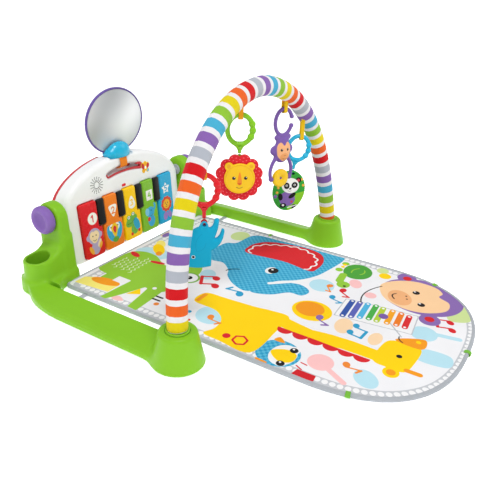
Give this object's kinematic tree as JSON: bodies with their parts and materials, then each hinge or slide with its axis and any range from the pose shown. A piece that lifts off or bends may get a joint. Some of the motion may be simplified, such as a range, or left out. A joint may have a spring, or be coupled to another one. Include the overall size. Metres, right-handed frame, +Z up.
{
  "type": "baby activity play gym",
  "caption": "Baby play gym: padded printed mat, two green base rails, a tilting toy piano with a round mirror, and a striped fabric arch with hanging toys.",
  "frame": {"origin": "on the floor, under the middle of the object's box", "axes": "+X to the right as seen from the mat's rounded end, +Y along the mat towards the piano, +Z up"},
  "size_m": [0.724, 0.8889, 0.4476],
  "materials": {
    "lime_plastic": "satin injection-moulded shell",
    "foot_rubber": "matt",
    "purple_plastic": "satin moulded",
    "grey_plastic": "plain moulded",
    "white_plastic": "soft gloss moulded shell",
    "rim_red_plastic": "satin moulded shell",
    "red_plastic": "glossy moulded",
    "orange_plastic": "glossy moulded",
    "yellow_plastic": "glossy moulded",
    "green_plastic": "glossy moulded",
    "blue_plastic": "glossy moulded",
    "black_plastic": "glossy moulded",
    "cyan_plastic": "glossy moulded",
    "contact_rubber": "silicone rubber strip",
    "circuit_laminate": "fibreglass laminate",
    "speaker_black": "paper cone in a plastic frame",
    "steel": "plated screw",
    "battery_jacket": "printed metal can",
    "orange_webbing": "flat woven strap",
    "mirror_film": "clear acrylic over a silvered film",
    "striped_fabric": "knitted polyester printed in coloured rings",
    "loop_webbing": "flat woven tape",
    "blue_plush": "short-pile fabric, stuffed",
    "printed_disc": "moulded disc with a printed face",
    "mat_fabric": "printed woven polyester, lightly padded",
    "grey_webbing": "flat woven tape"
  },
  "bodies": {
    "base": {"left_base_rail": "lime_plastic", "right_base_rail": "lime_plastic", "left_base_cover": "lime_plastic", "right_base_cover": "lime_plastic", "left_front_foot": "foot_rubber", "right_front_foot": "foot_rubber", "left_rear_foot": "foot_rubber", "right_rear_foot": "foot_rubber", "play_mat": "mat_fabric", "left_mat_strap": "grey_webbing", "right_mat_strap": "grey_webbing"},
    "piano": {"piano_front_shell": "white_plastic", "piano_rear_shell": "rim_red_plastic", "black_key_1": "black_plastic", "black_key_2": "black_plastic", "black_key_3": "black_plastic", "black_key_4": "black_plastic", "key_contact_strip": "contact_rubber", "circuit_board": "circuit_laminate", "speaker": "speaker_black", "battery_door": "rim_red_plastic", "battery_door_screw": "steel", "battery_1": "battery_jacket", "battery_2": "battery_jacket", "battery_3": "battery_jacket", "mirror_bracket": "cyan_plastic", "mirror_strap": "orange_webbing"},
    "left_knob": {"left_knob": "purple_plastic", "left_pivot_shaft": "grey_plastic"},
    "right_knob": {"right_knob": "purple_plastic", "right_pivot_shaft": "grey_plastic"},
    "volume_slider": {"volume_slider": "white_plastic"},
    "mirror": {"mirror_glass": "mirror_film", "mirror_rim": "purple_plastic", "mirror_back": "purple_plastic"},
    "arch": {"arch_sleeve": "striped_fabric", "left_arch_tube": "grey_plastic", "right_arch_tube": "grey_plastic", "arch_joiner": "white_plastic", "left_arch_plug": "lime_plastic", "right_arch_plug": "lime_plastic", "lion_loop": "loop_webbing", "elephant_loop": "loop_webbing", "monkey_loop": "loop_webbing", "panda_loop": "loop_webbing"},
    "green_link": {"green_link": "green_plastic"},
    "lion": {"lion_mane": "red_plastic", "lion_face": "yellow_plastic"},
    "red_link": {"red_link": "red_plastic"},
    "elephant": {"elephant_toy": "blue_plush"},
    "blue_link": {"blue_link": "cyan_plastic"},
    "panda": {"panda_toy": "printed_disc"},
    "monkey": {"monkey_toy": "purple_plastic"},
    "monkey_disc": {"monkey_disc": "yellow_plastic"},
    "red_key": {"red_key": "red_plastic"},
    "orange_key": {"orange_key": "orange_plastic"},
    "yellow_key": {"yellow_key": "yellow_plastic"},
    "green_key": {"green_key": "green_plastic"},
    "blue_key": {"blue_key": "blue_plastic"}
  },
  "joints": [
    {"name": "piano_tilt", "type": "hinge", "parent": "base", "child": "piano", "pos_m": [0, 0.3945, 0.145], "axis": [-1, 0, 0], "range_deg": [-5, 60]},
    {"name": "left_knob_turn", "type": "hinge", "parent": "base", "child": "left_knob", "pos_m": [-0.233, 0.3945, 0.145], "axis": [-1, 0, 0], "range_deg": [0, 90]},
    {"name": "right_knob_turn", "type": "hinge", "parent": "base", "child": "right_knob", "pos_m": [0.233, 0.3945, 0.145], "axis": [1, 0, 0], "range_deg": [0, 90]},
    {"name": "mirror_tilt", "type": "hinge", "parent": "piano", "child": "mirror", "pos_m": [0, 0.41594, 0.22945], "axis": [0.9816, -0.1901, 0.0166], "range_deg": [-9, 9]},
    {"name": "volume_slide", "type": "slide", "parent": "piano", "child": "volume_slider", "axis": [1, 0, 0], "range_m": [0, 0.009]},
    {"name": "arch_lift", "type": "slide", "parent": "base", "child": "arch", "axis": [0, 0, 1], "range_m": [0, 0.05]},
    {"name": "red_key_press", "type": "hinge", "parent": "piano", "child": "red_key", "pos_m": [-0.129, 0.3838, 0.14895], "axis": [1, 0, 0], "range_deg": [0, 3], "stiffness_Nm_per_rad": 1.5, "springref_deg": -2.86},
    {"name": "orange_key_press", "type": "hinge", "parent": "piano", "child": "orange_key", "pos_m": [-0.0645, 0.3838, 0.14895], "axis": [1, 0, 0], "range_deg": [0, 3], "stiffness_Nm_per_rad": 1.5, "springref_deg": -2.86},
    {"name": "yellow_key_press", "type": "hinge", "parent": "piano", "child": "yellow_key", "pos_m": [0, 0.3838, 0.14895], "axis": [1, 0, 0], "range_deg": [0, 3], "stiffness_Nm_per_rad": 1.5, "springref_deg": -2.86},
    {"name": "green_key_press", "type": "hinge", "parent": "piano", "child": "green_key", "pos_m": [0.0645, 0.3838, 0.14895], "axis": [1, 0, 0], "range_deg": [0, 3], "stiffness_Nm_per_rad": 1.5, "springref_deg": -2.86},
    {"name": "blue_key_press", "type": "hinge", "parent": "piano", "child": "blue_key", "pos_m": [0.129, 0.3838, 0.14895], "axis": [1, 0, 0], "range_deg": [0, 3], "stiffness_Nm_per_rad": 1.5, "springref_deg": -2.86},
    {"name": "green_link_swing", "type": "hinge", "parent": "arch", "child": "green_link", "pos_m": [-0.064, 0.0295, 0.388], "axis": [0.6428, -0.766, 0], "range_deg": [-24, 24]},
    {"name": "lion_turn", "type": "hinge", "parent": "green_link", "child": "lion", "pos_m": [-0.064, 0.0295, 0.307], "axis": [0.766, 0.6428, 0], "range_deg": [-20, 20]},
    {"name": "red_link_swing", "type": "hinge", "parent": "arch", "child": "red_link", "pos_m": [-0.19, 0.0215, 0.306], "axis": [0.6157, -0.788, 0], "range_deg": [-20, 20]},
    {"name": "elephant_turn", "type": "hinge", "parent": "red_link", "child": "elephant", "pos_m": [-0.19, 0.0215, 0.217], "axis": [0.788, 0.6157, 0], "range_deg": [-20, 20]},
    {"name": "monkey_swing", "type": "hinge", "parent": "arch", "child": "monkey", "pos_m": [0.108, 0.0285, 0.372], "axis": [0.9135, -0.4067, 0], "range_deg": [-28, 28]},
    {"name": "monkey_disc_spin", "type": "hinge", "parent": "monkey", "child": "monkey_disc", "pos_m": [0.108, 0.0285, 0.22], "axis": [0.9135, -0.4067, 0], "continuous": true},
    {"name": "blue_link_swing", "type": "hinge", "parent": "arch", "child": "blue_link", "pos_m": [0.184, 0.0205, 0.3], "axis": [0.6428, -0.766, 0], "range_deg": [-14, 14]},
    {"name": "panda_turn", "type": "hinge", "parent": "blue_link", "child": "panda", "pos_m": [0.1744, 0.03194, 0.21531], "axis": [0.766, 0.6428, 0], "range_deg": [-20, 20]}
  ]
}
